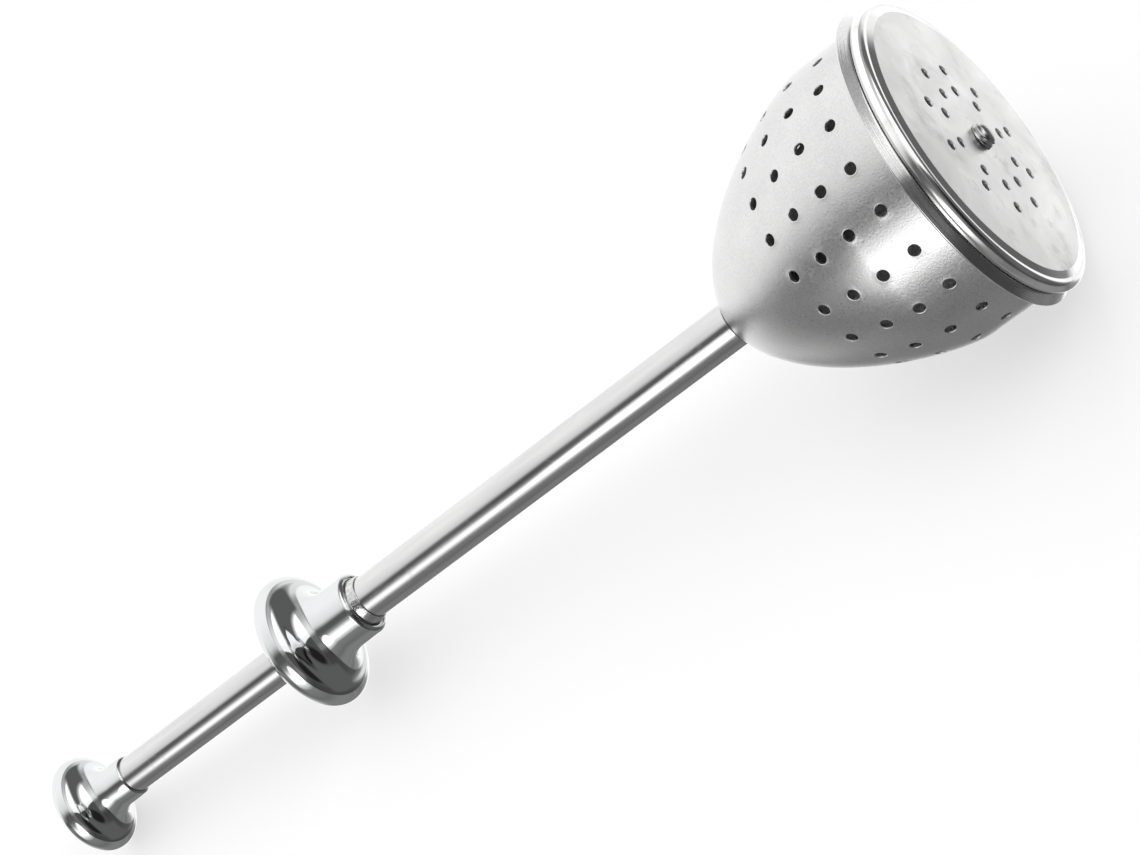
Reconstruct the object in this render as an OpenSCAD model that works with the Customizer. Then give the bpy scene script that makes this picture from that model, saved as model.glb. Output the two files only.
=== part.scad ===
// Tea infuser with a push-open basket, lying along +X.
// X = 0 is the knob's end face, and the axis of everything is the X axis.

/* [Knob and push tube] */
// Diameter of the knob's round edge
knob_d = 16.4; // [14:0.1:19]
// Radius of the rounding on the knob's edge
knob_edge_r = 2.16; // [1.8:0.02:2.4]
// Length of the knob, from its end face to its neck's mouth
knob_len = 11.6; // [11:0.1:12]
// Diameter of the knob's neck
knob_neck_d = 6.9; // [6.8:0.1:7.6]
// Diameter of the push tube
push_d = 6.1; // [5.8:0.02:6.2]
// Wall of the push tube
push_wall = 0.5; // [0.4:0.05:0.6]

/* [Finger collar] */
// Diameter of the collar's round edge
collar_d = 22.4; // [20:0.1:26]
// Radius of the rounding on the collar's edge
collar_edge_r = 2.5; // [2.2:0.05:2.7]
// Radius of the hollow between the collar's neck and its flange
collar_hollow_r = 4.0; // [3.5:0.1:4.4]
// Diameter of the collar's neck
collar_neck_d = 10.4; // [10:0.1:11]
// Length of the collar along the axis
collar_len = 14.0; // [13.5:0.1:16]

/* [Handle tube] */
// Outer diameter of the handle tube
tube_d = 7.0; // [6.9:0.05:7.2]
// Length of handle tube that shows between the collar and the basket
tube_shown = 76.5; // [70:0.5:95]

/* [Basket] */
// Outer radius of the basket's straight wall
basket_r = 22.46; // [21:0.1:24]
// Length of the basket's rounded part
dome_len = 30; // [28:0.5:32]
// Length of the basket, from its apex to the crest of its lip
basket_len = 42.47; // [42:0.01:46]
// Thickness of the basket's and the lid's sheet
sheet = 0.5; // [0.4:0.05:0.6]
// Number of holes round the basket
basket_holes = 20; // [12:1:22]
// Diameter of the basket's holes
basket_hole_d = 1.8; // [1.2:0.1:2.2]
// Angle of the first column of holes, in degrees
basket_turn = 7.5; // [0:0.5:18]

/* [Lid] */
// Diameter of the lid's holes
lid_hole_d = 1.65; // [1.2:0.05:2]
// Number of holes in each of the lid's two rings
lid_holes = 10; // [6:1:12]
// Radius of the lid's inner ring of holes
lid_ring_a = 7.93; // [7:0.1:8.5]
// Radius of the lid's outer ring of holes
lid_ring_b = 11.6; // [11:0.1:14]

/* [Spring] */
// Diameter of the spring's wire
wire_d = 0.6; // [0.5:0.05:0.7]
// Number of the spring's open turns
spring_turns = 27; // [20:1:32]

/* [Hidden] */
$fn = 96;

// Running fits
slip = 0.05;             // radial clearance between parts that slide
fit = 0.02;              // space between parts that only touch

// Push tube and knob
exposed = 38.75;         // push tube that shows behind the collar at rest
push_r = push_d / 2;
push_bore = push_r - push_wall;
knob_hollow_r = 4.0;     // rounding between the knob's neck and its flange
knob_wall = 3.4;         // solid thickness behind the push tube

// Collar, and the tube in it
collar_back = knob_len + exposed;
collar_mouth = collar_back + collar_len;
tube_r = tube_d / 2;
tube_bore = push_r + slip;
guide_len = 3.65;        // length of the guide ring in the collar's back
guide_r = 4.2;           // radius of the guide ring
guide_edge = 0.3;        // chamfers of the guide ring
tube_back = collar_back + guide_len;
mouth_r = 4.0;           // bore of the collar round the sleeve
mouth_round = 0.7;       // rounding of the collar's mouth
mouth_ease = 0.4;        // rounding inside the mouth
neck_taper = 0.1;        // the neck narrows by this towards its mouth
sleeve_past = 1.5;       // the sleeve stands this far out of the mouth, and narrows there

// Basket: the wall follows r = R (1 - (1 - u)^1.32)^(1 / 1.89), u from 0 to 1 along the dome
apex_inset = 0.57;       // the apex lies this far inside the tube's end of view
apex = collar_mouth + tube_shown - apex_inset;
apex_u = 0.0148;         // where the wall starts at the apex hole
dome_pow = 1.32;
dome_root = 1.887;
dome_steps = 14;
crest = apex + basket_len;
lip_r = 0.87;            // outer radius of the lip's curl
lip_turn = 32;           // where the curl ends in the flare, degrees above the outward direction
lip_flare = 1.45;        // length of the flare
ring_first = 19.2;       // first ring of holes, from the apex
ring_step = 5.5;
ring_count = 4;

// Lid
edge_r = basket_r + 1.44;    // outer radius of the lid's edge
edge_round = 1.1;            // rounding of the lid's edge
edge_turn = 35;              // the edge curls under by this angle
edge_leg = 0.45;             // straight end of the curl
edge_top = crest + 1.0;      // place of the rounding's centre
face_r = edge_r - 2.5;       // where the face starts to slope down to the edge
face_x = edge_top + 1.45;
crown = 0.54;                // rise of the face towards its centre
// Slope and crease between the face and the edge, as [distance outwards, depth]
slope_line = [[0.15, 0.04], [1.0, 0.3], [1.2, 0.36]];

// Stem
stem_r = 1.75;
stem_tip_r = 1.5;            // turned down in the plug
thread_r = 1.95;             // rolled thread at the lid
thread_len = 5.8;            // length of the thread, out to the stem's end
end_round = 0.55;            // rounding of the stem's end
stem_end = face_x + crown + 1.66;
plug_back = knob_wall + 0.1;
plug_len = 7.5;
stem_back = plug_back + 0.5;
stem_shoulder = plug_back + plug_len;

// Nut behind the lid
nut_flats = 7;
nut_len = 2.2;
nut_back = face_x + crown - sheet - nut_len - 0.15;

// Spring, between its seat and the tube bush
push_end = collar_mouth + 3.65;    // where the push tube ends inside the handle tube
seat_t = 0.8;
spring_from = push_end + seat_t;
spring_r = 2.55;
closed_pitch = wire_d + 0.03;      // rise of the closed turn at each end
closed = 1;                        // closed turns at each end

// Bush between the handle tube and the basket
bush_back = apex - 6.3;
bush_neck_r = 2.55;      // where the bush passes through the basket's apex
bush_head_r = 3.7;
bush_head = apex + 1.1;
bush_end = apex + 2.5;

// Turns a solid made along +Z so that it lies along +X
module along_x() rotate([0, 90, 0]) children();

// Round body of an outline given as [radius, distance along the axis]
module turned(outline) along_x() rotate_extrude() polygon(outline);

// Tube between two places on the axis
module tube(outer, inner, from, to) {
    turned([[inner, from], [outer, from], [outer, to], [inner, to]]);
}

// Points of an arc about c, from angle a to angle b
function arc(c, r, a, b, n) = [
    for (i = [0:n]) let (t = a + (b - a) * i / n) c + r * [cos(t), sin(t)]
];

// Unit normal of a line of points at point i, on its left
function left_of(p, i) = let (
    d = p[min(i + 1, len(p) - 1)] - p[max(i - 1, 0)]
) [-d[1], d[0]] / norm(d);

// Angle at which a round edge about c and a hollow of radius h meet, where the hollow's centre
// is at radius r, and that centre
function meet(c, ring_r, h, r) = acos((r - c[0]) / (ring_r + h));
function hollow_at(c, ring_r, h, r) = [r, c[1] + (ring_r + h) * sin(meet(c, ring_r, h, r))];

// Outline of bent sheet: the outer line, and the same line moved inwards by t
function bent(p, t) = concat(p, [
    for (i = [len(p) - 1:-1:0]) p[i] + t * left_of(p, i)
]);

// Radius of the basket's dome, u from 0 at the apex to 1 at the straight wall
function dome(u) = basket_r * pow(1 - pow(1 - u, dome_pow), 1 / dome_root);

// Angle of the dome's outward normal behind the radial direction, from its slope at u
function dome_tilt(u) = atan(
    basket_r * dome_pow / dome_root / dome_len * pow(1 - u, dome_pow - 1)
    * pow(1 - pow(1 - u, dome_pow), 1 / dome_root - 1)
);

// One ring of holes through the basket's wall, square to it, h from the apex
module hole_ring(h) {
    u = min(h / dome_len, 1);
    for (k = [0:basket_holes - 1])
        along_x() rotate([0, 0, basket_turn + 360 / basket_holes * k])
            translate([dome(u), 0, apex + h]) rotate([0, 90 + dome_tilt(u), 0])
                cylinder(h = 3, d = basket_hole_d, center = true, $fn = 24);
}

module basket() {
    // The wall bends outwards into the lip, so its outer side becomes the curl's inner side
    curl = [basket_r - sheet + lip_r, crest - lip_r];
    flare = [sin(lip_turn), -cos(lip_turn)] * lip_flare;
    edge = [cos(lip_turn), sin(lip_turn)];
    start = sqrt(apex_u);
    wall = [
        for (i = [0:dome_steps])
            let (k = start + (1 - start) * i / dome_steps, u = k * k) [dome(u), apex + u * dome_len]
    ];
    outline = concat(
        wall,
        arc(curl, lip_r - sheet, 180, lip_turn, 8),
        [curl + (lip_r - sheet) * edge + flare, curl + lip_r * edge + flare],
        arc(curl, lip_r, lip_turn, 180, 12),
        [for (i = [len(wall) - 1:-1:0]) wall[i] + sheet * left_of(wall, i)]
    );
    color([0.80, 0.80, 0.79]) difference() {
        turned(outline);
        for (ring = [0:ring_count - 1]) hole_ring(ring_first + ring * ring_step);
    }
}

module handle_tube() {
    color([0.84, 0.84, 0.84]) tube(tube_r, tube_bore, tube_back, apex + 0.5);
}

module tube_bush() {
    color([0.72, 0.72, 0.72]) turned([
        [stem_r + slip, bush_back], [tube_bore - fit, bush_back],
        [tube_bore - fit, apex - 0.2], [bush_neck_r, apex - 0.2],
        [bush_neck_r, bush_head], [bush_head_r, bush_head + 0.5], [bush_head_r, bush_end - 0.4],
        [bush_head_r - 0.4, bush_end], [stem_r + slip, bush_end]
    ]);
}

module collar() {
    neck_r = collar_neck_d / 2;
    edge_c = [collar_d / 2 - collar_edge_r, collar_back + collar_edge_r];
    hollow_r = neck_r + neck_taper + collar_hollow_r;
    turn = meet(edge_c, collar_edge_r, collar_hollow_r, hollow_r);
    color([0.90, 0.90, 0.91]) turned(concat(
        [[guide_r, tube_back], [guide_r, collar_back]],
        arc(edge_c, collar_edge_r, -90, turn, 24),
        arc(hollow_at(edge_c, collar_edge_r, collar_hollow_r, hollow_r), collar_hollow_r,
            180 + turn, 180, 16),
        arc([neck_r - mouth_round, collar_mouth - mouth_round], mouth_round, 0, 90, 6),
        arc([mouth_r + mouth_ease, collar_mouth - mouth_ease], mouth_ease, 90, 180, 4),
        [[mouth_r, tube_back]]
    ));
}

module collar_sleeve() {
    out = collar_mouth + sleeve_past;
    color([0.70, 0.70, 0.70]) turned([
        [tube_r, tube_back], [mouth_r, tube_back], [mouth_r, collar_mouth + 0.2],
        [tube_r + 0.3, out - 0.4], [tube_r + 0.15, out], [tube_r, out]
    ]);
}

module guide_ring() {
    color([0.62, 0.62, 0.63]) turned([
        [push_r + slip, tube_back], [guide_r, tube_back], [guide_r, collar_back + guide_edge],
        [guide_r - guide_edge, collar_back], [push_r + slip + guide_edge, collar_back],
        [push_r + slip, collar_back + guide_edge]
    ]);
}

module push_tube() {
    color([0.84, 0.84, 0.84]) tube(push_r, push_bore, knob_wall, push_end);
}

module knob() {
    neck_r = knob_neck_d / 2;
    edge_c = [knob_d / 2 - knob_edge_r, knob_edge_r];
    hollow_r = neck_r + neck_taper + knob_hollow_r;
    turn = meet(edge_c, knob_edge_r, knob_hollow_r, hollow_r);
    mouth_edge = 0.2;
    color([0.90, 0.90, 0.91]) turned(concat(
        [[0, knob_wall], [0, 0]],
        arc(edge_c, knob_edge_r, -90, turn, 24),
        arc(hollow_at(edge_c, knob_edge_r, knob_hollow_r, hollow_r), knob_hollow_r,
            180 + turn, 180, 16),
        [[neck_r, knob_len - mouth_edge], [neck_r - mouth_edge, knob_len]],
        [[push_r, knob_len], [push_r, knob_wall]]
    ));
}

module stem_plug() {
    color([0.70, 0.70, 0.70]) tube(push_bore, stem_tip_r, plug_back, stem_shoulder);
}

module stem() {
    thread_from = stem_end - thread_len;
    color([0.76, 0.76, 0.76]) turned(concat(
        [[0, stem_back], [stem_tip_r, stem_back], [stem_tip_r, stem_shoulder]],
        [[stem_r, stem_shoulder], [stem_r, thread_from], [thread_r, thread_from + thread_r - stem_r]],
        arc([thread_r - end_round, stem_end - end_round], end_round, 0, 60, 4),
        [[0, stem_end]]
    ));
}

module return_spring() {
    sides = 6;
    per_turn = 10;
    turns = spring_turns + 2 * closed;
    from = spring_from + wire_d / 2 + fit;
    to = bush_back - wire_d / 2 - fit;
    open_len = to - from - 2 * closed * closed_pitch;
    // Distance along the axis after t turns: one closed turn at each end, open turns between
    function rise(t) = t < closed ? t * closed_pitch
        : t > turns - closed ? to - from - (turns - t) * closed_pitch
        : closed * closed_pitch + open_len * (t - closed) / spring_turns;
    steps = turns * per_turn;
    points = [
        for (i = [0:steps]) let (a = 360 * i / per_turn)
            for (j = [0:sides - 1]) let (b = 360 * j / sides, r = spring_r + wire_d / 2 * cos(b))
                [from + rise(i / per_turn) + wire_d / 2 * sin(b), r * sin(a), r * cos(a)]
    ];
    skin = [
        for (i = [0:steps - 1], j = [0:sides - 1])
            let (a = i * sides + j, b = i * sides + (j + 1) % sides) [a, b, b + sides, a + sides]
    ];
    ends = [[for (j = [sides - 1:-1:0]) j], [for (j = [0:sides - 1]) steps * sides + j]];
    color([0.66, 0.66, 0.66]) polyhedron(points, concat(skin, ends));
}

module spring_seat() {
    color([0.66, 0.66, 0.66])
        tube(tube_bore - 2 * slip, stem_r + 3 * slip, push_end + fit, spring_from);
}

module lid() {
    edge_c = [edge_r - edge_round, edge_top];
    bore_r = thread_r + slip;
    face = [
        for (i = [0:6]) let (r = bore_r + (face_r - bore_r) * i / 6)
            [r, face_x + crown * (1 - pow(r / face_r, 2))]
    ];
    slope = [for (g = slope_line) [face_r + g[0], face_x - g[1]]];
    curl = arc(edge_c, edge_round, 90, -edge_turn, 12);
    foot = curl[len(curl) - 1] - edge_leg * [sin(edge_turn), cos(edge_turn)];
    outer = concat(face, slope, curl, [foot]);
    flipped = [for (i = [len(outer) - 1:-1:0]) outer[i]];
    color([0.88, 0.88, 0.87]) difference() {
        turned(bent(flipped, sheet));
        for (k = [0:lid_holes - 1], r = [lid_ring_a, lid_ring_b])
            along_x() rotate([0, 0, 360 / lid_holes * k]) translate([r, 0, crest])
                cylinder(h = 6, d = lid_hole_d, $fn = 24);
    }
}

module lid_nut() {
    color([0.70, 0.70, 0.70]) along_x() translate([0, 0, nut_back]) difference() {
        cylinder(h = nut_len, r = nut_flats / sqrt(3), $fn = 6);
        translate([0, 0, -nut_len]) cylinder(h = 3 * nut_len, r = thread_r);
    }
}

basket();
handle_tube();
tube_bush();
collar();
collar_sleeve();
guide_ring();
push_tube();
knob();
stem_plug();
stem();
return_spring();
spring_seat();
lid();
lid_nut();
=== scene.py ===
import math

import bmesh
import bpy
import numpy as np
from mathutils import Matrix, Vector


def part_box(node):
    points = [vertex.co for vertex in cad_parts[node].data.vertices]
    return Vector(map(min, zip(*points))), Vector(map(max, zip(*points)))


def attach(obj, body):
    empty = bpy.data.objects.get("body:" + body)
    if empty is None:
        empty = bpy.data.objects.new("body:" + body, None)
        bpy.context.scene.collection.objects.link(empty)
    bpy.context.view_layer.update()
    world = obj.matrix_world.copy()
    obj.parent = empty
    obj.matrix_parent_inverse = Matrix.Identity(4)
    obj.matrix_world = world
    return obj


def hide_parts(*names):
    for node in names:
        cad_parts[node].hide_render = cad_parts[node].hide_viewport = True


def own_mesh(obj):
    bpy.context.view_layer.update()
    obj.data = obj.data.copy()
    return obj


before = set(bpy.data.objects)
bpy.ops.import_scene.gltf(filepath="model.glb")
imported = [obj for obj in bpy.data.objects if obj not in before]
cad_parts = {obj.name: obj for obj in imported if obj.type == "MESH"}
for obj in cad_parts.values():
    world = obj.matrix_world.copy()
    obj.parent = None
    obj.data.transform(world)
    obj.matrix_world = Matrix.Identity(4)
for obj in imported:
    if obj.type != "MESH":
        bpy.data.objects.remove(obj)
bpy.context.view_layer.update()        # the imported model: bodies, nodes, joints and record
mm = 0.001

# Camera and light

cameraSetup = {
    "place": (0.32747, -0.30711, 0.32116),    # metres
    "turn": (29.391, 42.149, -14.799),        # degrees about x, y and z
    "lens": 107.4, "sensor": 36,              # millimetres
}


def addCamera():
    data = bpy.data.cameras.new("productCamera")
    data.lens = cameraSetup["lens"]
    data.sensor_width = cameraSetup["sensor"]
    data.clip_start, data.clip_end = 0.02, 20
    camera = bpy.data.objects.new("productCamera", data)
    camera.location = cameraSetup["place"]
    camera.rotation_euler = [math.radians(a) for a in cameraSetup["turn"]]
    bpy.context.collection.objects.link(camera)
    bpy.context.scene.camera = camera
    bpy.context.scene.view_settings.view_transform = "Standard"


def addNode(tree, kind, inputs=None, **settings):
    # A node with its settings, and its sockets given as numbers, colours or links
    made = tree.nodes.new(kind)
    for key, value in settings.items():
        setattr(made, key, value)
    for key, value in (inputs or {}).items():
        if isinstance(value, bpy.types.NodeSocket):
            tree.links.new(value, made.inputs[key])
        else:
            made.inputs[key].default_value = value
    return made


def mathNode(tree, operation, a, b=0.0, c=0.0, clamp=False):
    made = addNode(tree, "ShaderNodeMath", {0: a, 1: b, 2: c}, operation=operation, use_clamp=clamp)
    return made.outputs[0]


def spread(tree, value, low, high, fromLow=0.3, fromHigh=0.7):
    # Carries a varying value from one range to another
    return addNode(tree, "ShaderNodeMapRange", {"Value": value, "From Min": fromLow, "From Max": fromHigh,
                                                "To Min": low, "To Max": high}).outputs[0]


def blend(tree, share, a, b):
    return addNode(tree, "ShaderNodeMix", {0: share, 2: a, 3: b}, data_type="FLOAT").outputs[0]


def fillRamp(ramp, stops):
    # Colour stops as (place, grey value)
    points = ramp.color_ramp.elements
    while len(points) < len(stops):
        points.new(0.5)
    for point, (place, grey) in zip(points, stops):
        point.position = place
        point.color = (grey, grey, grey, 1)


studio = {
    # Light round the object's axis, as degrees from straight up towards the camera's side, and its strength
    "back": [(-180, 0.3), (-168, 0.22), (-156, 0.4), (-150, 1.3), (-110, 1.26), (-90, 1.2), (-70, 1.27),
             (-30, 1.28), (-8, 1.18), (8, 1.08), (17, 0.95), (24, 0.55), (28, 0.28), (32, 0.13), (44, 0.13),
             (50, 0.22), (57, 0.42), (62, 0.85), (68, 1.35), (74, 1.75), (84, 1.75), (90, 1.1), (97, 0.7),
             (103, 0.28), (120, 0.24), (134, 0.2), (152, 0.28), (166, 0.28), (180, 0.25)],
    "middle": [(-180, 0.09), (-160, 0.12), (-151, 0.3), (-146, 1.05), (-130, 1.12), (-108, 0.95),
               (-97, 0.6), (-85, 0.42), (-60, 0.5), (-38, 0.58), (-20, 0.75), (-8, 0.93), (12, 1.12),
               (25, 0.95), (30, 0.5), (38, 0.2), (58, 0.2), (72, 0.3), (82, 0.28), (92, 0.12),
               (105, 0.07), (180, 0.09)],
    "rear": [(-180, 0.7), (-150, 1.2), (-30, 1.28), (-10, 1.2), (6, 0.95), (18, 0.6), (30, 0.3), (44, 0.13),
             (58, 0.13), (72, 0.3), (90, 0.24), (112, 0.16), (130, 0.2), (150, 0.35), (180, 0.7)],
    "scale": 2.5,                             # the ramps hold the strengths divided by this
    # Cosines with the axis between which the bands blend
    "rearFrom": (-0.78, -0.66), "backFrom": (0.24, 0.3), "frontFrom": (0.66, 0.72), "underFrom": (0.45, 0.55),
    "seam": 0.33, "seamHalf": 0.035, "seamDark": 0.55,
    "dark": 0.1, "darkest": 0.02, "under": 0.14, "dim": 0.3, "bright": 1.35, "glare": 1.9,
    "blackSpot": (0.927, -0.337, -0.164),     # direction of the darkest part
    "lampPower": 0.15, "lampSize": 0.26,
    "lampPlace": (0.055, -0.36, 0.125), "lampAim": (0.165, -0.01, 0.01),
    "backdrop": 1.0,
    "floorColour": (0.5, 0.5, 0.5, 1), "floorGlow": 0.56, "floorSize": 6.0, "lipTouch": 1.65,
}


def addWorld():
    # Bands of light along the axis: behind, beside, and in front, where a dark half meets a bright half
    world = bpy.data.worlds.new("studioWorld")
    bpy.context.scene.world = world
    world.use_nodes = True
    tree = world.node_tree
    tree.nodes.clear()
    where = addNode(tree, "ShaderNodeTexCoord")
    parts = addNode(tree, "ShaderNodeSeparateXYZ", {0: where.outputs["Generated"]})
    x, y, z = parts.outputs
    turn = mathNode(tree, "ARCTAN2", mathNode(tree, "MULTIPLY", y, -1.0), z)
    share = mathNode(tree, "MULTIPLY_ADD", turn, 0.5 / math.pi, 0.5)
    bands = []
    for key in ("back", "middle", "rear"):
        ramp = addNode(tree, "ShaderNodeValToRGB", {0: share})
        fillRamp(ramp, [(0.5 + a / 360, v / studio["scale"]) for a, v in studio[key]])
        bands.append(mathNode(tree, "MULTIPLY", ramp.outputs[0], studio["scale"]))

    def along(byY, byZ):
        # How far a direction points along (0, byY, byZ)
        return mathNode(tree, "ADD", mathNode(tree, "MULTIPLY", y, byY), mathNode(tree, "MULTIPLY", z, byZ))

    under, low, up = along(0.69, -0.72), along(-0.87, -0.5), along(-0.5, 0.87)
    sky = spread(tree, up, studio["dim"], studio["bright"], -0.3, 0.1)
    glare = mathNode(tree, "MULTIPLY", spread(tree, up, 0.0, 1.0, 0.02, 0.08),
                     spread(tree, low, 1.0, 0.0, -0.3, -0.1))
    sky = mathNode(tree, "MULTIPLY_ADD", glare, studio["glare"] - studio["bright"], sky)
    toward = addNode(tree, "ShaderNodeVectorMath", {0: where.outputs["Generated"], 1: studio["blackSpot"]},
                     operation="DOT_PRODUCT").outputs["Value"]
    dark = spread(tree, toward, studio["dark"], studio["darkest"], 0.93, 0.97)
    front = blend(tree, spread(tree, low, 0.0, 1.0, -0.01, 0.03), sky, dark)
    value = blend(tree, spread(tree, x, 1.0, 0.0, *studio["rearFrom"]), bands[0], bands[2])
    value = blend(tree, spread(tree, x, 0.0, 1.0, *studio["backFrom"]), value, bands[1])
    value = blend(tree, spread(tree, x, 0.0, 1.0, *studio["frontFrom"]), value, front)
    # The dark side below and beyond the lid
    hidden = mathNode(tree, "MULTIPLY", spread(tree, x, 0.0, 1.0, *studio["underFrom"]),
                      spread(tree, under, 0.0, 1.0, 0.1, 0.3))
    value = blend(tree, hidden, value, studio["under"])
    # A thin dark seam in the tent
    off = mathNode(tree, "ABSOLUTE", mathNode(tree, "SUBTRACT", x, studio["seam"]))
    seam = mathNode(tree, "MULTIPLY", spread(tree, off, studio["seamDark"], 0.0, 0.0, studio["seamHalf"]),
                    spread(tree, up, 0.0, 1.0, -0.1, 0.1))
    value = mathNode(tree, "MULTIPLY", value, mathNode(tree, "SUBTRACT", 1.0, seam))
    light = addNode(tree, "ShaderNodeBackground", {"Strength": value})
    seen = addNode(tree, "ShaderNodeBackground", {"Strength": studio["backdrop"]})
    for shader in (light, seen):
        shader.inputs["Color"].default_value = (1, 1, 1, 1)
    path = addNode(tree, "ShaderNodeLightPath")
    mixed = addNode(tree, "ShaderNodeMixShader",
                    {0: path.outputs["Is Camera Ray"], 1: light.outputs[0], 2: seen.outputs[0]})
    addNode(tree, "ShaderNodeOutputWorld", {0: mixed.outputs[0]})


def addLamp():
    # Soft lamp near the basket, which gives its wall the white highlight
    data = bpy.data.lights.new("basketLamp", "AREA")
    data.shape = "DISK"
    data.energy, data.size = studio["lampPower"], studio["lampSize"]
    lamp = bpy.data.objects.new("basketLamp", data)
    lamp.location = studio["lampPlace"]
    x, y, z = np.subtract(studio["lampAim"], studio["lampPlace"])
    lamp.rotation_euler = (math.atan2(math.hypot(x, y), -z), 0.0, math.atan2(x, -y) + math.pi)
    lamp.visible_camera = False
    bpy.context.collection.objects.link(lamp)


# Mesh tools

def makeMesh(name, points, faces, material, smoothAngle=35):
    # Points in millimetres and faces of four, doubles merged and normals turned outwards
    mesh = bpy.data.meshes.new(name)
    mesh.vertices.add(len(points))
    mesh.vertices.foreach_set("co", (np.asarray(points, float) * mm).astype(np.float32).ravel())
    faces = np.asarray(faces, np.int32)
    mesh.loops.add(faces.size)
    mesh.loops.foreach_set("vertex_index", faces.ravel())
    mesh.polygons.add(len(faces))
    mesh.polygons.foreach_set("loop_start", np.arange(0, faces.size, 4, dtype=np.int32))
    mesh.update(calc_edges=True)
    shape = bmesh.new()
    shape.from_mesh(mesh)
    bmesh.ops.remove_doubles(shape, verts=shape.verts, dist=0.0008 * mm)
    bmesh.ops.dissolve_degenerate(shape, edges=shape.edges, dist=0.0004 * mm)
    bmesh.ops.recalc_face_normals(shape, faces=shape.faces)
    shape.to_mesh(mesh)
    shape.free()
    mesh.validate()
    mesh.shade_smooth()
    mesh.set_sharp_from_angle(angle=math.radians(smoothAngle))
    piece = bpy.data.objects.new(name, mesh)
    bpy.context.collection.objects.link(piece)
    mesh.materials.append(material)
    return piece


def gridFaces(rows, columns, wrap=False, start=0):
    # Quads of a grid of points stored row by row; wrap joins the last column to the first
    index = np.arange(rows * columns).reshape(rows, columns) + start
    if wrap:
        index = np.hstack([index, index[:, :1]])
    return np.stack([index[:-1, :-1], index[1:, :-1], index[1:, 1:], index[:-1, 1:]], -1).reshape(-1, 4)


def roundCorners(corners, steps=5):
    # Outline points (x, r, rounding): each corner becomes an arc that touches both of its sides
    line = []
    for i, (x, r, rounding) in enumerate(corners):
        here = np.array([x, r], float)
        if rounding == 0 or i in (0, len(corners) - 1):
            line.append(here)
            continue
        a = np.array(corners[i - 1][:2]) - here
        b = np.array(corners[i + 1][:2]) - here
        a, b = a / np.linalg.norm(a), b / np.linalg.norm(b)
        half = math.acos(np.clip(a @ b, -1, 1)) / 2
        reach = rounding / math.tan(half)
        middle = here + (a + b) / np.linalg.norm(a + b) * rounding / math.sin(half)
        first, last = here + a * reach - middle, here + b * reach - middle
        sweep = math.pi - 2 * half
        for k in range(steps + 1):
            t = k / steps
            weights = math.sin((1 - t) * sweep) / math.sin(sweep), math.sin(t * sweep) / math.sin(sweep)
            line.append(middle + weights[0] * first + weights[1] * last)
    return np.array(line)


def arcLine(centre, radius, start, stop, steps):
    # Points (x, r) on an arc; angles in degrees from the +x direction towards +r
    t = np.radians(np.linspace(start, stop, steps + 1))
    return np.stack([centre[0] + radius * np.cos(t), centre[1] + radius * np.sin(t)], 1)


def turnedPiece(name, line, material, around=128, closed=False, smoothAngle=35):
    # A line (x, r) turned about the x axis: y = -r sin t, z = r cos t
    line = np.asarray(line, float)
    if closed:
        line = np.vstack([line, line[:1]])
    t = np.linspace(0, 2 * math.pi, around, endpoint=False)
    x = np.repeat(line[:, :1], around, 1)
    points = np.stack([x, -line[:, 1:] * np.sin(t), line[:, 1:] * np.cos(t)], -1).reshape(-1, 3)
    return makeMesh(name, points, gridFaces(len(line), around, wrap=True), material, smoothAngle)


class SheetLine:
    # The outer side of bent sheet as a line (x, r), read by the distance s along it

    def __init__(self, line):
        line = np.asarray(line, float)
        steps = np.diff(line, axis=0)
        lengths = np.linalg.norm(steps, axis=1)
        slopes = np.gradient(line, np.concatenate([[0], np.cumsum(lengths)]), axis=0)
        slopes /= np.linalg.norm(slopes, axis=1)[:, None]
        self.s = np.concatenate([[0], np.cumsum(lengths)])
        self.line = line
        self.normals = np.stack([-slopes[:, 1], slopes[:, 0]], 1)
        self.length = self.s[-1]

    def radius(self, s):
        return np.interp(s, self.s, self.line[:, 1])

    def at(self, x):
        return float(np.interp(x, self.line[:, 0], self.s))

    def place(self, s, t, h):
        # A point at distance s, at angle t round the axis, raised by h off the outer side
        s, t, h = np.broadcast_arrays(s, t, h)
        inside = np.clip(s, 0, self.length)
        x, r, nx, nr = [np.interp(inside, self.s, v) for v in (*self.line.T, *self.normals.T)]
        size = np.hypot(nx, nr)
        nx, nr = nx / size, nr / size
        x, r = x + nx * h + (s - inside) * nr, r + nr * h - (s - inside) * nx
        return np.stack([x, -r * np.sin(t), r * np.cos(t)], -1)


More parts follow.
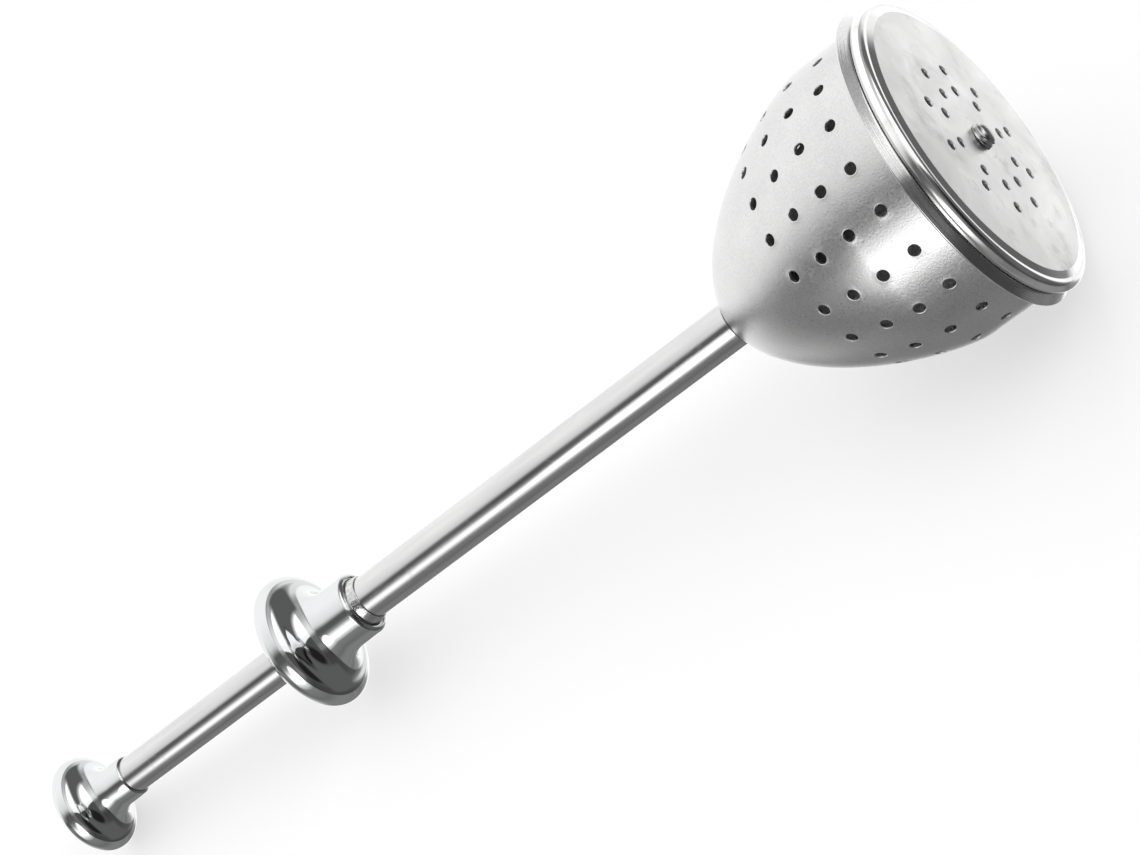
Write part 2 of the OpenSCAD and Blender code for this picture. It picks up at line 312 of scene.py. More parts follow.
def drilledSheet(name, sheet, thickness, bands, around, material, edgeRound=0.6, smoothAngle=40):
    # Both sides of the sheet, band by band. A plain band is a grid of rows by columns. A band of holes is one
    # cell for each hole: rings of points go from the hole's circle to the cell's four sides.
    points, faces, total = [], [], 0

    def addGrid(grid, wrap):
        nonlocal total
        rows, columns = grid.shape[:2]
        points.append(grid.reshape(-1, 3))
        faces.append(gridFaces(rows, columns, wrap, total))
        total += rows * columns

    columnAngles = np.arange(around) * 2 * math.pi / around
    for band in bands:
        if "holes" not in band:
            s = np.linspace(band["from"], band["to"], band["rows"] + 1)[:, None]
            shift = band.get("turn", 0)
            for h in (0, -thickness):
                addGrid(sheet.place(s, columnAngles + shift, h), True)
            continue
        count, rows, columns = band["holes"], band["rows"], around // band["holes"]
        half = math.pi / count
        middle = (band["from"] + band["to"]) / 2
        across = np.linspace(-half, half, columns + 1)
        along = np.linspace(band["from"], band["to"], rows + 1)
        edgeT = np.concatenate([across[:-1], np.full(rows, half), across[:0:-1], np.full(rows, -half)])
        edgeS = np.concatenate([np.full(columns, along[0]), along[:-1],
                                np.full(columns, along[-1]), along[:0:-1]])
        wander = band["wander"]
        for k in range(count):
            t0 = band["turn"] + 2 * half * k
            holeT, holeS = wander[k]
            s0 = band.get("centre", middle) + holeS
            reach = sheet.radius(s0)
            angle = np.arctan2(edgeS - s0, (edgeT - holeT) * reach)
            ringR = band["radius"] + np.array([r for r, h in band["rim"]])
            ringH = np.array([h for r, h in band["rim"]])
            for height in (ringH, np.full(len(ringH), -thickness)):
                ringS = s0 + ringR[:, None] * np.sin(angle)
                ringT = holeT + ringR[:, None] * np.cos(angle) / reach
                share = np.linspace(0, 1, 5)[1:, None]
                fadeS = ringS[-1] * (1 - share) + edgeS * share
                fadeT = ringT[-1] * (1 - share) + edgeT * share
                allS, allT = np.vstack([ringS, fadeS]), np.vstack([ringT, fadeT])
                allH = np.concatenate([height, np.full(4, height[-1])])
                addGrid(sheet.place(allS, allT + t0, allH[:, None]), True)
            wallS = np.repeat(s0 + ringR[0] * np.sin(angle)[None], 3, 0)
            wallT = np.repeat(holeT + ringR[0] * np.cos(angle)[None] / reach, 3, 0) + t0
            wallH = np.array([ringH[0], -thickness / 2, -thickness])[:, None]
            addGrid(sheet.place(wallS, wallT, wallH), True)
    for s, out in ((bands[0]["from"], -1), (bands[-1]["to"], 1)):
        a = np.linspace(0, math.pi, 7)
        edge = sheet.place((s + out * thickness * edgeRound / 2 * np.sin(a))[:, None], columnAngles,
                           (-thickness / 2 + thickness / 2 * np.cos(a))[:, None])
        addGrid(edge, True)
    return makeMesh(name, np.vstack(points), np.vstack(faces), material, smoothAngle)


# Places read from the frame, in millimetres

def ends(node):
    # Where a node starts and ends along the axis, and its outer radius
    low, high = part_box(node)
    return low[0] / mm, high[0] / mm, high[2] / mm


def finishPiece(piece, body, node):
    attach(piece, body)
    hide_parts(node)
    return piece


# Shared effects, as node groups

def newGroup(name, sizeLabel, size, outputs):
    # A group that takes coordinates and one number, and puts out the named values
    tree = bpy.data.node_groups.new(name, "ShaderNodeTree")
    tree.interface.new_socket("Vector", in_out="INPUT", socket_type="NodeSocketVector")
    socket = tree.interface.new_socket(sizeLabel, in_out="INPUT", socket_type="NodeSocketFloat")
    socket.default_value = size
    for label in outputs:
        tree.interface.new_socket(label, in_out="OUTPUT", socket_type="NodeSocketFloat")
    return tree, addNode(tree, "NodeGroupInput"), addNode(tree, "NodeGroupOutput")


def noiseNode(tree, vector, scale, detail=2.0, roughness=0.5, distortion=0.0):
    return addNode(tree, "ShaderNodeTexNoise", {"Vector": vector, "Scale": scale, "Detail": detail,
                                                "Roughness": roughness, "Distortion": distortion})


def buildGrain():
    # Fine even grain of blasted steel, with soft cloudy patches in it
    tree, given, out = newGroup("blastedGrain", "Scale", 5000.0, ("Height", "Clouds"))
    where, scale = given.outputs["Vector"], given.outputs["Scale"]
    tree.links.new(noiseNode(tree, where, scale, 2.0, 0.6).outputs[0], out.inputs["Height"])
    tree.links.new(noiseNode(tree, where, 180.0, 4.0, 0.6).outputs[0], out.inputs["Clouds"])
    return tree


def buildTurnLines():
    # Fine lines that run round the axis, as a lathe or a spinning buff leaves them
    tree, given, out = newGroup("turnLines", "Scale", 6000.0, ("Height", "Radius"))
    x, y, z = addNode(tree, "ShaderNodeSeparateXYZ", {0: given.outputs["Vector"]}).outputs
    squares = mathNode(tree, "ADD", mathNode(tree, "MULTIPLY", y, y), mathNode(tree, "MULTIPLY", z, z))
    radius = mathNode(tree, "SQRT", squares)
    slow = mathNode(tree, "MULTIPLY", mathNode(tree, "ARCTAN2", y, z), 0.0004)
    line = addNode(tree, "ShaderNodeCombineXYZ", {0: x, 1: radius, 2: slow})
    noise = noiseNode(tree, line.outputs[0], given.outputs["Scale"], 3.0, 0.7)
    tree.links.new(noise.outputs[0], out.inputs["Height"])
    tree.links.new(radius, out.inputs["Radius"])
    return tree


def buildDrawLines():
    # Long fine lines along the tube, broken here and there
    tree, given, out = newGroup("drawLines", "Scale", 5000.0, ("Height", "Patches"))
    where = given.outputs["Vector"]
    fine = addNode(tree, "ShaderNodeMapping", {"Vector": where, "Scale": (0.012, 1.0, 1.0)})
    broad = addNode(tree, "ShaderNodeMapping", {"Vector": where, "Scale": (0.12, 1.0, 1.0)})
    lines = noiseNode(tree, fine.outputs[0], given.outputs["Scale"], 3.0, 0.65)
    tree.links.new(lines.outputs[0], out.inputs["Height"])
    tree.links.new(noiseNode(tree, broad.outputs[0], 450.0, 4.0).outputs[0], out.inputs["Patches"])
    return tree


def buildScratches():
    # Sparse hair scratches in two directions, and soft smudges
    tree, given, out = newGroup("hairScratches", "Density", 120.0, ("Mask", "Smudge"))
    where = given.outputs["Vector"]
    bent = noiseNode(tree, where, 60.0, 1.0)
    push = addNode(tree, "ShaderNodeVectorMath", {0: bent.outputs["Color"], 1: (0.004, 0.004, 0.004)},
                   operation="MULTIPLY")
    moved = addNode(tree, "ShaderNodeVectorMath", {0: where, 1: push.outputs[0]}, operation="ADD")
    masks = []
    for turn, squeeze in (((0.3, 0.2, 0.6), (1.0, 0.06, 1.0)), ((1.1, 0.7, 2.0), (0.07, 1.0, 1.0))):
        turned = addNode(tree, "ShaderNodeMapping", {"Vector": moved.outputs[0], "Rotation": turn,
                                                     "Scale": squeeze})
        cells = addNode(tree, "ShaderNodeTexVoronoi", {"Vector": turned.outputs[0],
                                                       "Scale": given.outputs["Density"]},
                        feature="DISTANCE_TO_EDGE")
        masks.append(mathNode(tree, "LESS_THAN", cells.outputs["Distance"], 0.012))
    both = mathNode(tree, "MAXIMUM", masks[0], masks[1])
    some = mathNode(tree, "GREATER_THAN", noiseNode(tree, where, 170.0).outputs[0], 0.56)
    tree.links.new(mathNode(tree, "MULTIPLY", both, some), out.inputs["Mask"])
    tree.links.new(noiseNode(tree, where, 75.0, 5.0, 0.65, 0.6).outputs[0], out.inputs["Smudge"])
    return tree


grain, turnLines = buildGrain(), buildTurnLines()
drawLines, scratches = buildDrawLines(), buildScratches()


# Materials

def placeGroup(tree, group, **inputs):
    made = addNode(tree, "ShaderNodeGroup", node_tree=group)
    for key, value in inputs.items():
        if isinstance(value, bpy.types.NodeSocket):
            tree.links.new(value, made.inputs[key])
        else:
            made.inputs[key].default_value = value
    return made


def greys(tree, value, dark, light):
    # Colour between two greys by a varying value
    made = addNode(tree, "ShaderNodeMix", data_type="RGBA")
    tree.links.new(value, made.inputs[0])
    made.inputs[6].default_value = (*dark, 1)
    made.inputs[7].default_value = (*light, 1)
    return made.outputs[2]


def newSteel(name):
    material = bpy.data.materials.new(name)
    material.use_nodes = True
    tree = material.node_tree
    shader = next(n for n in tree.nodes if n.type == "BSDF_PRINCIPLED")
    shader.inputs["Metallic"].default_value = 1.0
    where = addNode(tree, "ShaderNodeTexCoord")
    return material, tree, shader, where.outputs["Object"]


def addBump(tree, shader, height, strength, distance):
    bump = addNode(tree, "ShaderNodeBump", {"Height": height, "Strength": strength, "Distance": distance})
    tree.links.new(bump.outputs[0], shader.inputs["Normal"])
    return bump


def satinSteel():
    # Blasted basket wall; its lip is buffed bright
    material, tree, shader, where = newSteel("satinSteel")
    g = placeGroup(tree, grain, Vector=where, Scale=3400.0)
    lines = placeGroup(tree, turnLines, Vector=where, Scale=4200.0)
    marks = placeGroup(tree, scratches, Vector=where, Density=90.0)
    lip = spread(tree, lines.outputs["Radius"], 0.0, 1.0, 22.75 * mm, 23.0 * mm)
    tone = mathNode(tree, "MULTIPLY_ADD", g.outputs["Height"], 0.7,
                    mathNode(tree, "MULTIPLY", g.outputs["Clouds"], 0.3))
    colour = greys(tree, spread(tree, tone, 0.0, 1.0, 0.3, 0.7), (0.56, 0.56, 0.56), (0.73, 0.73, 0.725))
    tree.links.new(colour, shader.inputs["Base Color"])
    wallRough = mathNode(tree, "ADD", spread(tree, g.outputs["Height"], 0.27, 0.36),
                         mathNode(tree, "MULTIPLY", marks.outputs["Mask"], 0.04))
    rough = blend(tree, lip, wallRough, spread(tree, lines.outputs["Height"], 0.1, 0.18))
    tree.links.new(rough, shader.inputs["Roughness"])
    height = blend(tree, lip, g.outputs["Height"], lines.outputs["Height"])
    addBump(tree, shader, height, 0.85, 0.028 * mm)
    return material


def lidSteel():
    # Flat matt face with scratches and smudges, and a buffed edge
    material, tree, shader, where = newSteel("lidSteel")
    g = placeGroup(tree, grain, Vector=where, Scale=4200.0)
    lines = placeGroup(tree, turnLines, Vector=where, Scale=4200.0)
    marks = placeGroup(tree, scratches, Vector=where, Density=110.0)
    edge = spread(tree, lines.outputs["Radius"], 0.0, 1.0, 21.36 * mm, 21.46 * mm)
    smudge = spread(tree, marks.outputs["Smudge"], 0.0, 1.0, 0.35, 0.7)
    # Rubbed ring round the stem, broken by the clouds
    ring = mathNode(tree, "ABSOLUTE", mathNode(tree, "SUBTRACT", lines.outputs["Radius"], 3.3 * mm))
    ring = mathNode(tree, "MULTIPLY", spread(tree, ring, 1.0, 0.0, 0.05 * mm, 0.2 * mm),
                    spread(tree, g.outputs["Clouds"], 0.0, 1.0, 0.45, 0.6))
    fleck = spread(tree, g.outputs["Clouds"], 0.0, 0.6, 0.56, 0.7)
    worn = mathNode(tree, "MAXIMUM", mathNode(tree, "MULTIPLY_ADD", smudge, 0.4, fleck), ring, clamp=True)
    colour = greys(tree, worn, (0.88, 0.88, 0.875), (0.6, 0.6, 0.595))
    tree.links.new(colour, shader.inputs["Base Color"])
    face = mathNode(tree, "ADD", spread(tree, smudge, 0.30, 0.38, 0.0, 1.0),
                    mathNode(tree, "MULTIPLY", marks.outputs["Mask"], -0.04))
    rough = blend(tree, edge, face, spread(tree, lines.outputs["Height"], 0.08, 0.16))
    tree.links.new(rough, shader.inputs["Roughness"])
    deep = mathNode(tree, "MULTIPLY_ADD", marks.outputs["Mask"], -0.2, g.outputs["Height"])
    addBump(tree, shader, blend(tree, edge, deep, lines.outputs["Height"]), 0.55, 0.014 * mm)
    return material


def tubeSteel():
    # Drawn tube, polished lengthwise
    material, tree, shader, where = newSteel("tubeSteel")
    lines = placeGroup(tree, drawLines, Vector=where, Scale=5200.0)
    marks = placeGroup(tree, scratches, Vector=where, Density=150.0)
    patches = lines.outputs["Patches"]
    colour = greys(tree, spread(tree, patches, 0.0, 1.0), (0.58, 0.58, 0.58), (0.67, 0.67, 0.665))
    tree.links.new(colour, shader.inputs["Base Color"])
    rough = mathNode(tree, "ADD", spread(tree, patches, 0.11, 0.2),
                     mathNode(tree, "MULTIPLY", marks.outputs["Mask"], 0.08))
    tree.links.new(rough, shader.inputs["Roughness"])
    addBump(tree, shader, lines.outputs["Height"], 0.6, 0.012 * mm)
    return material


def mirrorChrome():
    # Polished collar and knob with faint wiping marks; the collar's mouth is left uneven by its joint
    material, tree, shader, where = newSteel("mirrorChrome")
    marks = placeGroup(tree, scratches, Vector=where, Density=160.0)
    smudge = marks.outputs["Smudge"]
    lumps = placeGroup(tree, grain, Vector=where, Scale=1300.0)
    along = addNode(tree, "ShaderNodeSeparateXYZ", {0: where}).outputs[0]
    unevenFrom, unevenFull = [(ends("collar")[1] - back) * mm for back in (0.35, 0.05)]
    mouth = spread(tree, along, 0.0, 1.0, unevenFrom, unevenFull)
    colour = greys(tree, spread(tree, smudge, 0.0, 1.0), (0.66, 0.665, 0.67), (0.70, 0.705, 0.71))
    tree.links.new(colour, shader.inputs["Base Color"])
    rough = mathNode(tree, "MULTIPLY_ADD", marks.outputs["Mask"], 0.04, spread(tree, smudge, 0.015, 0.05))
    tree.links.new(rough, shader.inputs["Roughness"])
    height = mathNode(tree, "MULTIPLY_ADD", mathNode(tree, "MULTIPLY", lumps.outputs["Height"], mouth), 10.0,
                      smudge)
    addBump(tree, shader, height, 0.1, 0.015 * mm)
    return material


def brazedSteel():
    # Joint round the handle tube, lumpy and bright
    material, tree, shader, where = newSteel("brazedSteel")
    g = placeGroup(tree, grain, Vector=where, Scale=1500.0)
    lines = placeGroup(tree, turnLines, Vector=where, Scale=2500.0)
    colour = greys(tree, spread(tree, g.outputs["Height"], 0.0, 1.0), (0.45, 0.45, 0.45), (0.68, 0.68, 0.675))
    tree.links.new(colour, shader.inputs["Base Color"])
    tree.links.new(spread(tree, lines.outputs["Height"], 0.08, 0.2), shader.inputs["Roughness"])
    addBump(tree, shader, g.outputs["Height"], 0.6, 0.12 * mm)
    return material


def turnedSteel():
    # Lathe-turned inner parts and the stem
    material, tree, shader, where = newSteel("turnedSteel")
    lines = placeGroup(tree, turnLines, Vector=where, Scale=5200.0)
    height = lines.outputs["Height"]
    colour = greys(tree, spread(tree, height, 0.0, 1.0), (0.50, 0.50, 0.50), (0.60, 0.60, 0.595))
    tree.links.new(colour, shader.inputs["Base Color"])
    tree.links.new(spread(tree, height, 0.18, 0.3), shader.inputs["Roughness"])
    addBump(tree, shader, height, 0.5, 0.012 * mm)
    return material


def springSteel():
    # Drawn wire, lines along the wire from its own UV map
    material, tree, shader, where = newSteel("springSteel")
    wire = addNode(tree, "ShaderNodeUVMap", uv_map="wire")
    stretch = addNode(tree, "ShaderNodeMapping", {"Vector": wire.outputs[0], "Scale": (0.2, 12.0, 1.0)})
    lines = noiseNode(tree, stretch.outputs[0], 4.0, 4.0)
    g = placeGroup(tree, grain, Vector=where, Scale=6000.0)
    colour = greys(tree, spread(tree, lines.outputs["Fac"], 0.0, 1.0), (0.42, 0.42, 0.42), (0.54, 0.54, 0.53))
    tree.links.new(colour, shader.inputs["Base Color"])
    tree.links.new(spread(tree, g.outputs["Clouds"], 0.2, 0.34), shader.inputs["Roughness"])
    addBump(tree, shader, lines.outputs["Fac"], 0.4, 0.01 * mm)
    return material


satin, lidFinish, tubeFinish = satinSteel(), lidSteel(), tubeSteel()
chrome, turned, wireFinish = mirrorChrome(), turnedSteel(), springSteel()
braze = brazedSteel()
print("materials made")


# Basket

basket = {
    "thickness": 0.5, "wallRadius": 22.46, "domeLength": 30.0, "domePower": 1.32, "domeRoot": 1.887,
    "curl": 0.87, "curlTurn": 32.0, "flare": 1.42, "overTube": 0.5, "apexShare": 0.122,
    "holes": 20, "holeRadius": 0.86, "firstRing": 19.2, "ringStep": 5.5, "rings": 4, "turn": 7.5,
    "around": 180, "wander": 0.12, "wanderRadius": 22.0,
    "rim": [(0.0, -0.06), (0.03, -0.01), (0.08, 0.02), (0.15, 0.025), (0.24, 0.012), (0.36, 0.0)],
}


def basketLine(apex, crest):
    # Dome r = R (1 - (1 - u)^p)^(1/q), straight wall, then the curl outwards and the flared lip
    b = basket
    u = np.linspace(b["apexShare"], 1, 160) ** 2
    dome = np.stack([apex + u * b["domeLength"],
                     b["wallRadius"] * (1 - (1 - u) ** b["domePower"]) ** (1 / b["domeRoot"])], 1)
    inner = b["curl"] - b["thickness"]
    centre = (crest - b["curl"], b["wallRadius"] + inner)
    wallX = np.linspace(dome[-1, 0] + 0.3, centre[0] - 0.05, 30)
    straight = np.stack([wallX, np.full(30, b["wallRadius"])], 1)
    curl = arcLine(centre, inner, -90, 90 - b["curlTurn"], 24)
    turn = math.radians(b["curlTurn"])
    step = np.array([-math.cos(turn), math.sin(turn)])
    flare = curl[-1] + np.linspace(0.02, 1, 12)[:, None] * step * b["flare"]
    return np.vstack([dome, straight, curl, flare])


def makeBasket():
    b = basket
    apex = ends("handle_tube")[1] - b["overTube"]
    line = SheetLine(basketLine(apex, ends("basket")[1]))
    rng = np.random.default_rng(7)
    bands = []
    centres = [line.at(apex + b["firstRing"] + b["ringStep"] * i) for i in range(b["rings"])]
    cuts = [centres[0] - 2.8] + [(p + q) / 2 for p, q in zip(centres, centres[1:])] + [centres[-1] + 2.75]
    turn = math.radians(b["turn"])
    columnTurn = turn - math.pi / b["holes"]
    bands.append({"from": 0.0, "to": cuts[0], "rows": 34, "turn": columnTurn})
    for i, centre in enumerate(centres):
        wander = rng.normal(0, b["wander"], (b["holes"], 2)) * [1 / b["wanderRadius"], 1]
        bands.append({"from": cuts[i], "to": cuts[i + 1], "rows": 8, "holes": b["holes"], "centre": centre,
                      "radius": b["holeRadius"], "rim": b["rim"], "turn": turn, "wander": wander})
    bands.append({"from": cuts[-1], "to": line.length, "rows": 60, "turn": columnTurn})
    piece = drilledSheet("basketShell", line, b["thickness"], bands, b["around"], satin)
    finishPiece(piece, "handle", "basket")


# Lid

lid = {
    "thickness": 0.5, "edgeRound": 1.1, "crown": 0.54, "faceInset": 2.5, "edgeHeight": 1.45,
    "edgeTurn": 35.0, "edgeLeg": 0.44, "slope": 0.4, "slopeWide": 1.12,
    "holes": 10, "holeRadius": 0.83, "rings": (7.93, 11.6), "around": 160,
    "rim": [(0.0, -0.08), (0.04, -0.02), (0.1, 0.0), (0.2, 0.0)],
    "stemHole": 2.0,
}


def makeLid():
    d = lid
    outer, high = ends("lid")[2], ends("lid")[1]
    faceRadius = outer - d["faceInset"]
    faceX = high - d["crown"]
    r = np.linspace(d["stemHole"], faceRadius, 120)
    face = np.stack([faceX + d["crown"] * (1 - (r / faceRadius) ** 2), r], 1)
    centre = (faceX - d["edgeHeight"], outer - d["edgeRound"])
    bead = arcLine(centre, d["edgeRound"], 10, 90 + d["edgeTurn"], 30)
    # The face slopes down from its end to a crease before the bead
    t = np.linspace(0, 1, 18)[1:]
    slope = np.stack([faceX - d["slope"] * t, faceRadius + d["slopeWide"] * t], 1)
    turn = math.radians(d["edgeTurn"])
    inward = np.array([-math.cos(turn), -math.sin(turn)])
    leg = bead[-1] + np.linspace(0.1, 1, 8)[:, None] * d["edgeLeg"] * inward
    line = SheetLine(np.vstack([face, slope, bead, leg]))
    if line.normals[10, 0] < 0:
        line.normals *= -1
    first, second = np.interp(d["rings"], face[:, 1], line.s[:len(face)])
    half = (second - first) / 2
    cellTurn = -math.pi / d["holes"]
    still = np.zeros((d["holes"], 2))
    bands = [{"from": 0.0, "to": first - half, "rows": 10, "turn": cellTurn}]
    for s in (first, second):
        bands.append({"from": s - half, "to": s + half, "rows": 6, "holes": d["holes"],
                      "radius": d["holeRadius"], "rim": d["rim"], "turn": 0.0, "wander": still})
    bands.append({"from": second + half, "to": line.length, "rows": 120, "turn": cellTurn})
    piece = drilledSheet("lidShell", line, d["thickness"], bands, d["around"], lidFinish)
    finishPiece(piece, "plunger", "lid")


# Tubes

tubes = {"edge": 0.09, "handleBore": 3.1, "pushBore": 2.55}


def makeTube(name, node, body, bore):
    start, stop, outer = ends(node)
    e = tubes["edge"]
    line = roundCorners([(start, (outer + bore) / 2, 0), (start, bore, e), (stop, bore, e), (stop, outer, e),
                         (start, outer, e), (start, (outer + bore) / 2, 0)], 4)
    piece = turnedPiece(name, line, tubeFinish, 96, smoothAngle=50)
    finishPiece(piece, body, node)


# Collar and knob

collar = {"edgeRound": 2.5, "hollow": 4.0, "neck": 5.2, "taper": 0.1, "mouthRound": 0.7, "mouthEase": 0.4,
          "bore": 4.0, "backBore": 4.2, "backBevel": 0.15}
knob = {"edgeRound": 2.16, "hollow": 4.0, "neck": 3.45, "taper": 0.1, "bore": 3.05, "wall": 3.4,
        "mouthEdge": 0.18}


def flangeLine(back, outer, shape, steps=48):
    # Round edge of the flange, then the hollow that meets it and runs into the neck
    edge = shape["edgeRound"]
    across = shape["neck"] + shape["taper"] + shape["hollow"]
    meet = math.acos((across - (outer - edge)) / (edge + shape["hollow"]))
    middle = (back + edge + (edge + shape["hollow"]) * math.sin(meet), across)
    stop = 90 - math.degrees(meet)
    return np.vstack([arcLine((back + edge, outer - edge), edge, 180, stop, steps),
                      arcLine(middle, shape["hollow"], 180 + stop, 270, steps)[1:]])


def makeCollar():
    c = collar
    back, mouth, outer = ends("collar")
    tubeBack = ends("handle_tube")[0]
    edge, ease = c["mouthRound"], c["mouthEase"]
    lip = arcLine((mouth - edge, c["neck"] - edge), edge, 90, 0, 12)
    inner = arcLine((mouth - ease, c["bore"] + ease), ease, 0, -90, 8)
    bevel = c["backBevel"]
    line = np.vstack([[[tubeBack, c["bore"]], [tubeBack, c["backBore"]], [back + bevel, c["backBore"]],
                       [back, c["backBore"] + bevel]], flangeLine(back, outer, c), lip, inner])
    piece = turnedPiece("collarBody", line, chrome, 160, closed=True, smoothAngle=50)
    finishPiece(piece, "handle", "collar")


def makeKnob():
    k = knob
    back, mouth, outer = ends("knob")
    edge = k["mouthEdge"]
    line = np.vstack([[[back + k["wall"], 0], [back + k["wall"], k["bore"]], [mouth, k["bore"]],
                       [mouth, k["neck"] - edge], [mouth - edge, k["neck"]]],
                      flangeLine(back, outer, k)[::-1], [[back, 0]]])
    piece = turnedPiece("knobBody", line, chrome, 144, smoothAngle=50)
    finishPiece(piece, "plunger", "knob")


# Stem with its rolled thread

stem = {"radius": 1.75, "tipRadius": 1.5, "threadRadius": 1.95, "pitch": 0.7, "depth": 0.3, "dome": 0.55,
        "behindLid": 0.9, "lead": 0.16}


def makeStem():
    # Radius as a function of x and angle: plain rod, then a V thread r = R - depth * |saw(x / pitch - angle)|
    d = stem
    start, stop = ends("stem")[:2]
    shoulder = ends("stem_plug")[1]
    threadFrom = ends("lid")[0] - d["behindLid"]
    plain = roundCorners([(start, 0, 0), (start, d["tipRadius"], 0.2), (shoulder, d["tipRadius"], 0),
                          (shoulder, d["radius"], 0.1), (threadFrom - 0.3, d["radius"], 0)], 3)
    x = np.linspace(threadFrom, stop - d["dome"], 150)
    t = np.linspace(0, 2 * math.pi, 72, endpoint=False)
    saw = np.abs(((x[:, None] / d["pitch"] - t / (2 * math.pi)) % 1) * 2 - 1)
    fade = np.clip((x - threadFrom) / 0.4, 0, 1)[:, None]
    lead = np.clip((stop - d["dome"] - x) / 0.5, 0, 1)[:, None]
    groove = np.clip(saw * 1.35 - 0.2, 0, 1) * d["depth"]
    threadR = d["radius"] + (d["threadRadius"] - groove - d["radius"]) * fade
    threadR = threadR - (1 - lead) * d["lead"]
    a = np.linspace(0, math.pi / 2, 12)[1:]
    domeR = (threadR[-1].mean() - 0.1) * np.cos(a)
    domeX = stop - d["dome"] + d["dome"] * np.sin(a)
    rows = [np.repeat(plain[:, 1:], len(t), 1), threadR, np.repeat(domeR[:, None], len(t), 1)]
    allX = np.concatenate([plain[:, 0], x, domeX])
    r = np.vstack(rows)
    points = np.stack([np.repeat(allX[:, None], len(t), 1), -r * np.sin(t), r * np.cos(t)], -1)
    piece = makeMesh("stemRod", points.reshape(-1, 3), gridFaces(len(allX), len(t), wrap=True), turned, 50)
    finishPiece(piece, "plunger", "stem")


# Nut behind the lid

nut = {"flats": 7.0, "bore": 1.95, "bevel": 0.2, "coneInset": 0.1, "coneRise": 1.6}


def makeNut():
    # Hexagon radius by angle, cut back at both faces by a cone
    start, stop = ends("lid_nut")[:2]
    t = np.linspace(0, 2 * math.pi, 144, endpoint=False)
    flat = nut["flats"] / 2 / np.cos((t + math.pi / 6) % (math.pi / 3) - math.pi / 6)
    depth = np.array([0.0, 0.12, 0.25, 0.45, 0.8])
    xs = np.concatenate([start + depth, stop - depth[::-1]])
    cone = nut["flats"] / 2 - nut["coneInset"] + nut["coneRise"] * np.concatenate([depth, depth[::-1]])
    bevel = nut["bevel"]
    ring = np.ones((1, len(t)))
    mouth, bore = (nut["bore"] + bevel) * ring, nut["bore"] * ring
    r = np.vstack([mouth, np.minimum(flat, cone[:, None]), mouth, bore, bore, mouth])
    x = np.concatenate([[start], xs, [stop, stop - bevel, start + bevel, start]])
    points = np.stack([np.repeat(x[:, None], len(t), 1), -r * np.sin(t), r * np.cos(t)], -1)
    piece = makeMesh("lidNut", points.reshape(-1, 3), gridFaces(len(x), len(t), wrap=True), turned, 30)
    finishPiece(piece, "plunger", "lid_nut")


# Inner turned parts

innerParts = {"slip": 0.05, "stemBore": 1.8, "headRadius": 3.7, "neckRadius": 2.55, "bodyRadius": 3.08,
              "neckLength": 1.3, "headBevel": 0.5, "seatBore": 1.9, "plugBore": 1.5}


def makeInnerParts():
    p = innerParts
    tubeEnd, tubeR = ends("handle_tube")[1:]
    start, stop = ends("tube_bush")[:2]
    shoulder = tubeEnd - basket["overTube"] - 0.2
    neckEnd, bevel = shoulder + p["neckLength"], p["headBevel"]
    bush = roundCorners([
        (start + 2, p["stemBore"], 0), (start, p["stemBore"], 0.15), (start, p["bodyRadius"], 0.2),
        (shoulder, p["bodyRadius"], 0), (shoulder, p["neckRadius"], 0), (neckEnd, p["neckRadius"], 0),
        (neckEnd + bevel, p["headRadius"], 0.1), (stop - 0.2, p["headRadius"], 0.25),
        (stop, p["headRadius"] - bevel, 0.2), (stop, p["stemBore"], 0.15), (start + 2, p["stemBore"], 0)], 4)
    finishPiece(turnedPiece("tubeBush", bush, turned, 96), "handle", "tube_bush")

    start, stop, outer = ends("guide_ring")
    bore = ends("push_tube")[2] + p["slip"]
    ring = roundCorners([(stop - 1, bore, 0), (stop, bore, 0.1), (stop, outer, 0.1), (start, outer, 0.25),
                         (start, bore, 0.3), (stop - 1, bore, 0)], 5)
    finishPiece(turnedPiece("guideRing", ring, turned, 128), "handle", "guide_ring")

    start, stop, outer = ends("collar_sleeve")
    mouth = ends("collar")[1]
    sleeve = roundCorners([(start + 2, tubeR, 0), (start, tubeR, 0.05), (start, outer, 0.05),
                           (mouth + 0.2, outer, 0.3), (stop - 0.4, tubeR + 0.3, 0.2),
                           (stop, tubeR + 0.15, 0.1), (stop, tubeR, 0.02), (start + 2, tubeR, 0)], 5)
    finishPiece(turnedPiece("collarSleeve", sleeve, braze, 144), "handle", "collar_sleeve")

    for name, node, body, bore in (("springSeat", "spring_seat", "spring_seat", p["seatBore"]),
                                   ("stemPlug", "stem_plug", "plunger", p["plugBore"])):
        start, stop, outer = ends(node)
        middle = (start + stop) / 2
        line = roundCorners([(middle, bore, 0), (stop, bore, 0.08), (stop, outer, 0.08), (start, outer, 0.08),
                             (start, bore, 0.08), (middle, bore, 0)], 3)
        finishPiece(turnedPiece(name, line, turned, 96), body, node)


# Return spring

spring = {"travel": 38.0, "wire": 0.3, "coil": 2.55, "turns": 27, "closedPitch": 0.63, "stepsPerTurn": 36,
          "sides": 10}


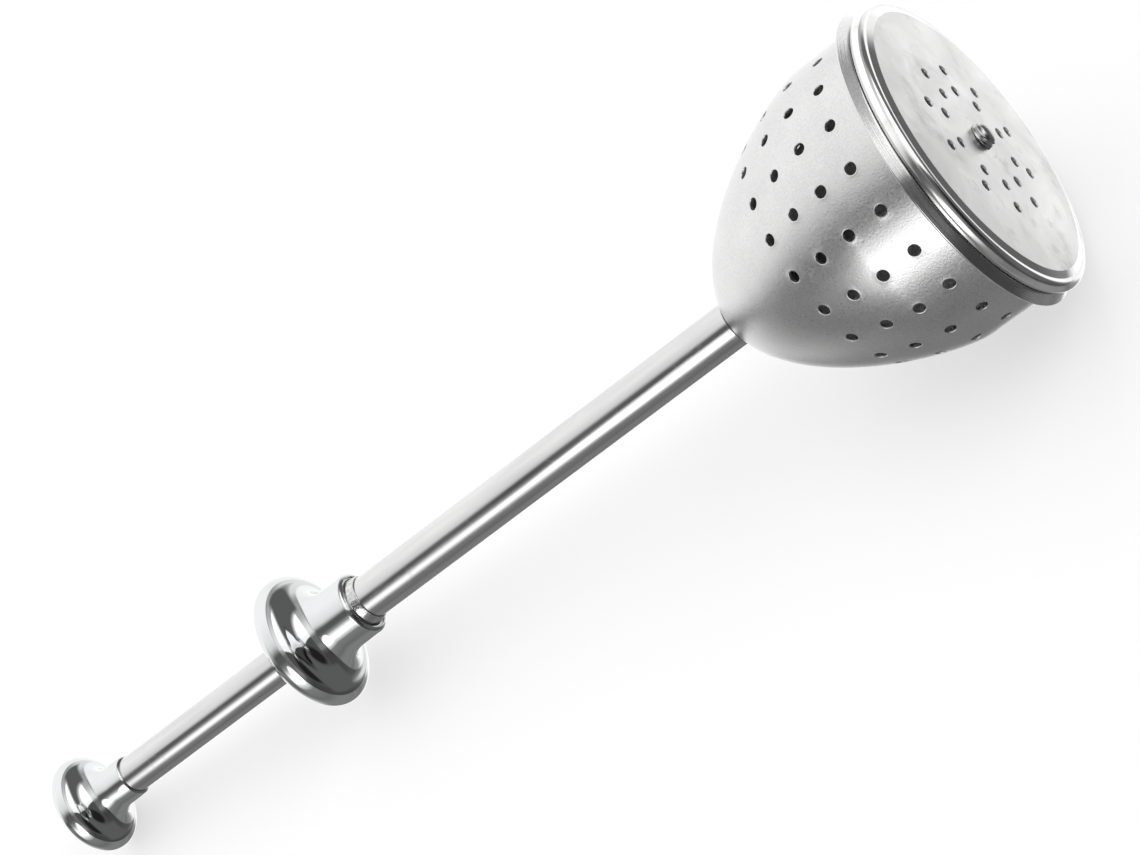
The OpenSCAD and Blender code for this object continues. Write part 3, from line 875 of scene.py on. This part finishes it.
def makeSpring():
    # The wire's circle carried along a helix whose rise is small in the closed turns at both ends
    d = spring
    start, stop = ends("return_spring")[:2]
    first, last = start + d["wire"] + 0.01, stop - d["wire"] - 0.01
    length = last - first
    turns = d["turns"] + 2
    q = np.linspace(0, turns, turns * d["stepsPerTurn"] + 1)
    rise = np.interp(q, [0, 1, turns - 1, turns], [0, d["closedPitch"], length - d["closedPitch"], length])
    a = 2 * math.pi * q
    b = np.linspace(0, 2 * math.pi, d["sides"], endpoint=False)
    r = d["coil"] + d["wire"] * np.cos(b)
    x = first + rise[:, None] + d["wire"] * np.sin(b)
    points = np.stack([x, r * np.sin(a)[:, None], r * np.cos(a)[:, None]], -1)
    tips = np.stack([np.repeat(points[i].mean(0)[None], d["sides"], 0) for i in (0, -1)])
    points = np.concatenate([tips[:1], points, tips[1:]])
    faces = gridFaces(len(points), d["sides"], wrap=True)
    piece = makeMesh("returnSpring", points.reshape(-1, 3), faces, wireFinish, 60)
    # The map runs along the coil by the share of its length, and round the wire by a point's angle
    uv = piece.data.uv_layers.new(name="wire")
    where = np.zeros(len(piece.data.vertices) * 3)
    piece.data.vertices.foreach_get("co", where)
    x, y, z = where.reshape(-1, 3).T / mm
    along = (x - first) / length * turns + np.arctan2(y, z) / (2 * math.pi) * 0.1
    around = np.arctan2(x % 1, np.hypot(y, z) - d["coil"]) / (2 * math.pi)
    loops = np.zeros(len(piece.data.loops), np.int32)
    piece.data.loops.foreach_get("vertex_index", loops)
    uv.data.foreach_set("uv", np.stack([along, around], 1)[loops].astype(np.float32).ravel())
    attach(piece, "handle")
    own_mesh(piece)
    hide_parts("return_spring")


# Floor

def addFloor():
    # The infuser lies on its lip and its knob, so the floor slopes by the angle that touches both
    lipX = ends("basket")[1] - studio["lipTouch"]
    lipR = ends("basket")[2]
    knobX, knobR = knob["edgeRound"], ends("knob")[2]
    slope = math.asin((lipR - knobR) / math.hypot(lipX - knobX, lipR - knobR))
    size = studio["floorSize"]
    u = np.linspace(-0.5, 0.5, 3) * size / mm
    gx, gy = np.meshgrid(u, u, indexing="ij")
    gz = -lipR / math.cos(slope) - (gx - lipX) * math.tan(slope)
    mesh = bpy.data.meshes.new("floorSheet")
    mesh.from_pydata((np.stack([gx, gy, gz], -1).reshape(-1, 3) * mm).tolist(), [],
                     gridFaces(3, 3)[:, ::-1].tolist())
    floor = bpy.data.objects.new("floorSheet", mesh)
    bpy.context.collection.objects.link(floor)
    material = bpy.data.materials.new("paleFloor")
    material.use_nodes = True
    shader = next(n for n in material.node_tree.nodes if n.type == "BSDF_PRINCIPLED")
    shader.inputs["Base Color"].default_value = studio["floorColour"]
    shader.inputs["Roughness"].default_value = 0.9
    shader.inputs["Specular IOR Level"].default_value = 0.1
    shader.inputs["Emission Color"].default_value = (1, 1, 1, 1)
    shader.inputs["Emission Strength"].default_value = studio["floorGlow"]
    floor.visible_glossy = False
    mesh.materials.append(material)


addCamera()
addWorld()
addLamp()
print("camera and studio set")
makeBasket()
print("basket made")
makeLid()
print("lid made")
makeTube("handleTube", "handle_tube", "handle", tubes["handleBore"])
makeTube("pushTube", "push_tube", "plunger", tubes["pushBore"])
print("tubes made")
makeCollar()
makeKnob()
print("collar and knob made")
makeStem()
makeNut()
makeInnerParts()
makeSpring()
print("inner parts made")
addFloor()
print("floor laid")
